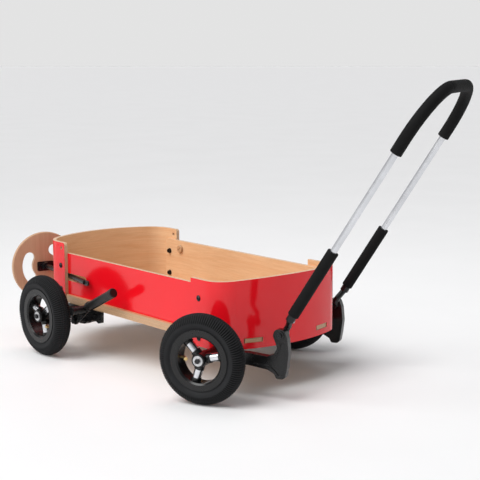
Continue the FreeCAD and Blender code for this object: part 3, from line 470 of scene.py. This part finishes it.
def tyre_profile():
    """Closed outline of the carcass section as (y, radius, kind), where kind names the surface."""
    side = [(0.0209, 0.0775), (0.0212, 0.0835), (0.0232, 0.0862), (0.0226, 0.0885)]
    points = [(y, r, "side") for y, r in side]
    wall = arc_points((0.0240, 0.0900), (0.0288, 0.1010), (0.0214, 0.1180), 14)
    points += [(y, r, "side") for y, r in wall]
    crown = arc_points((0.0210, 0.1190), (0.0, 0.1279), (-0.0210, 0.1190), 44)
    points += [(y, r, "crown") for y, r in crown]
    points += [(-0.0210, 0.1190, "crown")]
    points += [(-y, r, "side") for y, r in reversed(wall)]
    points += [(-y, r, "side") for y, r in reversed(side)]
    inside = [(-0.0145, 0.0775), (-0.0155, 0.0860), (-0.0238, 0.1010), (-0.0150, 0.1160), (0.0, 0.1205),
              (0.0150, 0.1160), (0.0238, 0.1010), (0.0155, 0.0860), (0.0145, 0.0775)]
    return points + [(y, r, "inside") for y, r in inside]


def tread_cut(y, phase):
    """How far a point of the crown lies in a groove, from 0 on a block to 1 in the bottom."""
    aside = abs(y)
    ring = max(1.0 - smooth_step(0.0005, 0.0014, abs(aside - place)) for place in (CENTRE_RIB, MIDDLE_RIB))
    if aside < CENTRE_RIB:
        lean, gap = 0.25 * y / CENTRE_RIB, 0.18
    elif aside < MIDDLE_RIB:
        lean, gap = 0.5 + 0.75 * (aside - CENTRE_RIB) / (MIDDLE_RIB - CENTRE_RIB), 0.24
    else:
        lean, gap = 0.22 * (aside - MIDDLE_RIB) / SHOULDER_RIB, 0.27
    spot = (phase + lean) % 1.0
    slot_cut = 1.0 - smooth_step(gap - 0.05, gap + 0.05, min(spot, 1.0 - spot))
    return max(ring, slot_cut)


def side_relief(radius):
    """Moulded rings on the sidewall, as a height in metres."""
    rings = ((0.0935, 0.0006, 0.0005), (0.0975, 0.0007, 0.0003), (0.1015, 0.0007, 0.0005))
    return sum(height * math.exp(-((radius - place) / width) ** 2) for place, width, height in rings)


def build_tyre_mesh():
    """The tyre round the Y axis, with "groove" and "crown" written on its points for the material, which
    paints shade in the grooves from the groove depth.
    """
    section = tyre_profile()
    steps = TREAD_BLOCKS * STEPS_PER_BLOCK
    count = len(section)
    vertices, grooves, crowns = [], [], []
    for step in range(steps):
        angle = 2.0 * math.pi * step / steps
        phase = step / STEPS_PER_BLOCK
        cosine, sine = math.cos(angle), math.sin(angle)
        for y, radius, kind in section:
            cut = 0.0
            if kind == "crown":
                cut = tread_cut(y, phase)
                radius = radius - GROOVE_DEPTH * cut
            elif kind == "side" and radius > SIDE_BLOCKS_FROM:
                spot = (phase + 0.22) % 1.0
                rib = 1.0 - smooth_step(0.20, 0.30, min(spot, 1.0 - spot))
                cut = rib * smooth_step(0.1020, 0.1070, radius)
                y, radius = y * (1.0 - 0.065 * cut), radius * (1.0 - 0.018 * cut)
            elif kind == "side":
                y = y + math.copysign(side_relief(radius), y)
            vertices.append((radius * cosine, y, radius * sine))
            grooves.append(cut)
            crowns.append(1.0 if kind == "crown" and abs(y) < WORN_HALF_WIDTH else 0.0)
    faces = []
    for step in range(steps):
        here, there = step * count, ((step + 1) % steps) * count
        for i in range(count):
            j = (i + 1) % count
            faces.append((here + i, here + j, there + j, there + i))
    mesh = bpy.data.meshes.new("air_tyre")
    mesh.from_pydata(vertices, [], faces)
    for name, values in (("groove", grooves), ("crown", crowns)):
        layer = mesh.attributes.new(name, "FLOAT", "POINT")
        layer.data.foreach_set("value", np.array(values, np.float32))
    mesh.polygons.foreach_set("use_smooth", [True] * len(mesh.polygons))
    mesh.materials.append(materials["tyre_rubber"])
    mesh.update()
    return mesh


def add_piece(name, mesh):
    piece = bpy.data.objects.new(name, mesh)
    bpy.context.scene.collection.objects.link(piece)
    return piece


tyre_mesh = build_tyre_mesh()
for wheel in WHEEL_NAMES:
    spin = joints[f"spin_{wheel}"]
    axis = Vector(spin["axis"])
    turn = math.atan2(-axis.x, axis.y)
    placed_mesh = tyre_mesh.copy()
    placed_mesh.transform(Matrix.Translation(Vector(spin["pos_m"])) @ Matrix.Rotation(turn, 4, "Z"))
    piece = add_piece(f"air_tyre_{wheel}", placed_mesh)
    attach(piece, f"wheel_body_{wheel}")
    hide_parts(f"tyre_{wheel}")


# ---- foam grips ----------------------------------------------------------------------------------
PATH_STEP = 0.003
BEND_STEPS = 80
RING_POINTS = 56
END_ROUND = 0.0016
TOP_GRIP_RADIUS = 0.0172
TOP_GRIP_RIGHT = 0.6005
TOP_GRIP_LEFT = 0.6150
TOP_GRIP_SEAM = 0.36
LOWER_GRIP_RADIUS = 0.0163
LOWER_GRIP_START = 0.0685
LOWER_GRIP_LENGTH = 0.216
LOWER_GRIP_STEPS = 110


def handle_place(across, reach):
    """Point of the handle at a distance across from its middle line and along its legs."""
    return pivot + lateral * across + up_leg * reach


def even_steps(length):
    count = max(2, int(length / PATH_STEP))
    return [length * i / count for i in range(count)]


def handle_path(right_start, left_start):
    """Even points (across, reach) along the bent handle between two reaches."""
    def bend(centre, from_angle):
        turns = [from_angle - math.pi / 2.0 * i / BEND_STEPS for i in range(BEND_STEPS)]
        return [(centre + HANDLE_BEND * math.cos(turn), bend_reach + HANDLE_BEND * math.sin(turn))
                for turn in turns]

    bend_reach = HANDLE_TOP - HANDLE_BEND
    half_top = HALF_HANDLE - HANDLE_BEND
    left_length = bend_reach - left_start
    points = [(-HALF_HANDLE, right_start + step) for step in even_steps(bend_reach - right_start)]
    points += bend(-half_top, math.pi)
    points += [(step - half_top, HANDLE_TOP) for step in even_steps(2.0 * half_top)]
    points += bend(half_top, math.pi / 2.0)
    points += [(HALF_HANDLE, bend_reach - step) for step in even_steps(left_length)]
    return points + [(HALF_HANDLE, bend_reach - left_length)]


def foam_sleeve(name, points, radius, seams):
    """Sleeve of foam along a flat path, with soft ends, faint unevenness and butt seams."""
    places = [handle_place(across, reach) for across, reach in points]
    first, last = places[1] - places[0], places[-2] - places[-1]
    tips = [share * END_ROUND for share in (0.1, 0.3, 0.6, 1.0)]
    places = (places[:1] + [places[0] + first.normalized() * step for step in tips] + places[1:-1]
              + [places[-1] + last.normalized() * step for step in reversed(tips)] + places[-1:])
    travel = [0.0]
    for before, after in zip(places, places[1:]):
        travel.append(travel[-1] + (after - before).length)
    total = travel[-1]
    vertices, faces = [], []

    def ring_at(index, size):
        ahead = places[min(index + 1, len(places) - 1)] - places[max(index - 1, 0)]
        ahead.normalize()
        side = ahead.cross(plane_normal).normalized()
        start = len(vertices)
        for step in range(RING_POINTS):
            angle = 2.0 * math.pi * step / RING_POINTS
            spoke = side * math.cos(angle) + plane_normal * math.sin(angle)
            rough = 0.0
            if size > radius * 0.9:
                rough = 0.00016 * noise.noise((places[index] + spoke * radius) * 90.0) - 0.00016
            vertices.append(places[index] + spoke * (size + rough))
        return start

    rings = []
    for index, distance in enumerate(travel):
        near_end = min(distance, total - distance)
        size = radius
        if near_end < END_ROUND:
            size = radius - END_ROUND + math.sqrt(max(0.0, END_ROUND ** 2 - (END_ROUND - near_end) ** 2))
        for seam in seams:
            gap = abs(distance - seam * total)
            size -= 0.0016 * math.exp(-(gap / 0.0012) ** 2)
        rings.append(ring_at(index, size))
    rings += [ring_at(index, TUBE_RADIUS) for index in range(len(places) - 1, -1, -1)]
    for one, two in zip(rings, rings[1:] + rings[:1]):
        for step in range(RING_POINTS):
            after = (step + 1) % RING_POINTS
            faces.append((one + step, one + after, two + after, two + step))
    mesh = bpy.data.meshes.new(name)
    mesh.from_pydata(vertices, [], faces)
    mesh.polygons.foreach_set("use_smooth", [True] * len(mesh.polygons))
    mesh.materials.append(materials["foam"])
    mesh.update()
    piece = add_piece(name, mesh)
    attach(piece, "handle")
    return piece


top_path = handle_path(TOP_GRIP_RIGHT, TOP_GRIP_LEFT)
top = foam_sleeve("foam_top_grip", top_path, TOP_GRIP_RADIUS, (TOP_GRIP_SEAM,))
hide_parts("top_grip")
for name, across in (("right", -HALF_HANDLE), ("left", HALF_HANDLE)):
    leg = [(across, LOWER_GRIP_START + LOWER_GRIP_LENGTH * i / LOWER_GRIP_STEPS)
           for i in range(LOWER_GRIP_STEPS + 1)]
    grip = foam_sleeve(f"foam_lower_grip_{name}", leg, LOWER_GRIP_RADIUS, ())
    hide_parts(f"lower_grip_{name}")


# ---- studio --------------------------------------------------------------------------------------
def studio_floor():
    mesh = bpy.data.meshes.new("studio_floor")
    size = 60.0
    corners = [(-size, -size, 0.0), (size, -size, 0.0), (size, size, 0.0), (-size, size, 0.0)]
    mesh.from_pydata(corners, [], [(0, 1, 2, 3)])
    shader = Shader("studio_floor", Roughness=0.6)
    shader.put(shader.ramp(shader.noise(shader.place, 2.0, 3.0), (0.3, 0.90), (0.7, 0.92)),
               shader.bsdf.inputs["Base Color"])
    mesh.materials.append(shader.material)
    floor = bpy.data.objects.new("studio_floor", mesh)
    bpy.context.scene.collection.objects.link(floor)


def soft_box(name, place, aim, width, height, power):
    light = bpy.data.lights.new(name, "AREA")
    light.shape = "RECTANGLE"
    light.size = width
    light.size_y = height
    light.energy = power
    lamp = bpy.data.objects.new(name, light)
    bpy.context.scene.collection.objects.link(lamp)
    lamp.location = place
    lamp.rotation_euler = (Vector(aim) - Vector(place)).to_track_quat("-Z", "Y").to_euler()


def studio_world():
    """Pale grey haze low down, fading to a dimmer ceiling."""
    made = bpy.data.worlds.new("studio")
    made.use_nodes = True
    tree = made.node_tree
    background = tree.nodes["Background"]
    direction = tree.nodes.new("ShaderNodeTexCoord")
    split = tree.nodes.new("ShaderNodeSeparateXYZ")
    ramp = tree.nodes.new("ShaderNodeValToRGB")
    tree.links.new(direction.outputs["Generated"], split.inputs[0])
    tree.links.new(split.outputs["Z"], ramp.inputs["Fac"])
    tree.links.new(ramp.outputs["Color"], background.inputs["Color"])
    low, high = ramp.color_ramp.elements
    low.position = 0.22
    low.color = (0.77, 0.77, 0.77, 1.0)
    high.position = 0.50
    high.color = (0.20, 0.20, 0.21, 1.0)
    return made


def sun(name, place, strength, spread):
    light = bpy.data.lights.new(name, "SUN")
    light.energy = strength
    light.angle = math.radians(spread)
    lamp = bpy.data.objects.new(name, light)
    bpy.context.scene.collection.objects.link(lamp)
    lamp.rotation_euler = (-Vector(place)).to_track_quat("-Z", "Y").to_euler()


studio_floor()
sun("daylight", (-0.25, -1.3, 1.9), 2.35, 40.0)
soft_box("key", (0.6, -4.0, 2.4), (0.0, 0.0, 0.3), 2.2, 1.2, 31.0)
soft_box("top", (-0.4, 0.2, 3.2), (0.0, 0.0, 0.3), 2.0, 2.0, 22.0)
bpy.context.scene.world = studio_world()
bpy.context.scene.view_settings.view_transform = "Standard"

camera_data = bpy.data.cameras.new("camera")
camera_data.sensor_width = 36.0
camera_data.lens = 91.53
camera_data.clip_end = 60.0
camera = bpy.data.objects.new("camera", camera_data)
bpy.context.scene.collection.objects.link(camera)
heading = math.radians(139.52)
dip = math.radians(9.015)
look = Vector((math.cos(heading) * math.cos(dip), math.sin(heading) * math.cos(dip), -math.sin(dip)))
camera.location = (2.8328, -2.3728, 0.9720)
camera.rotation_euler = look.to_track_quat("-Z", "Y").to_euler()
bpy.context.scene.camera = camera
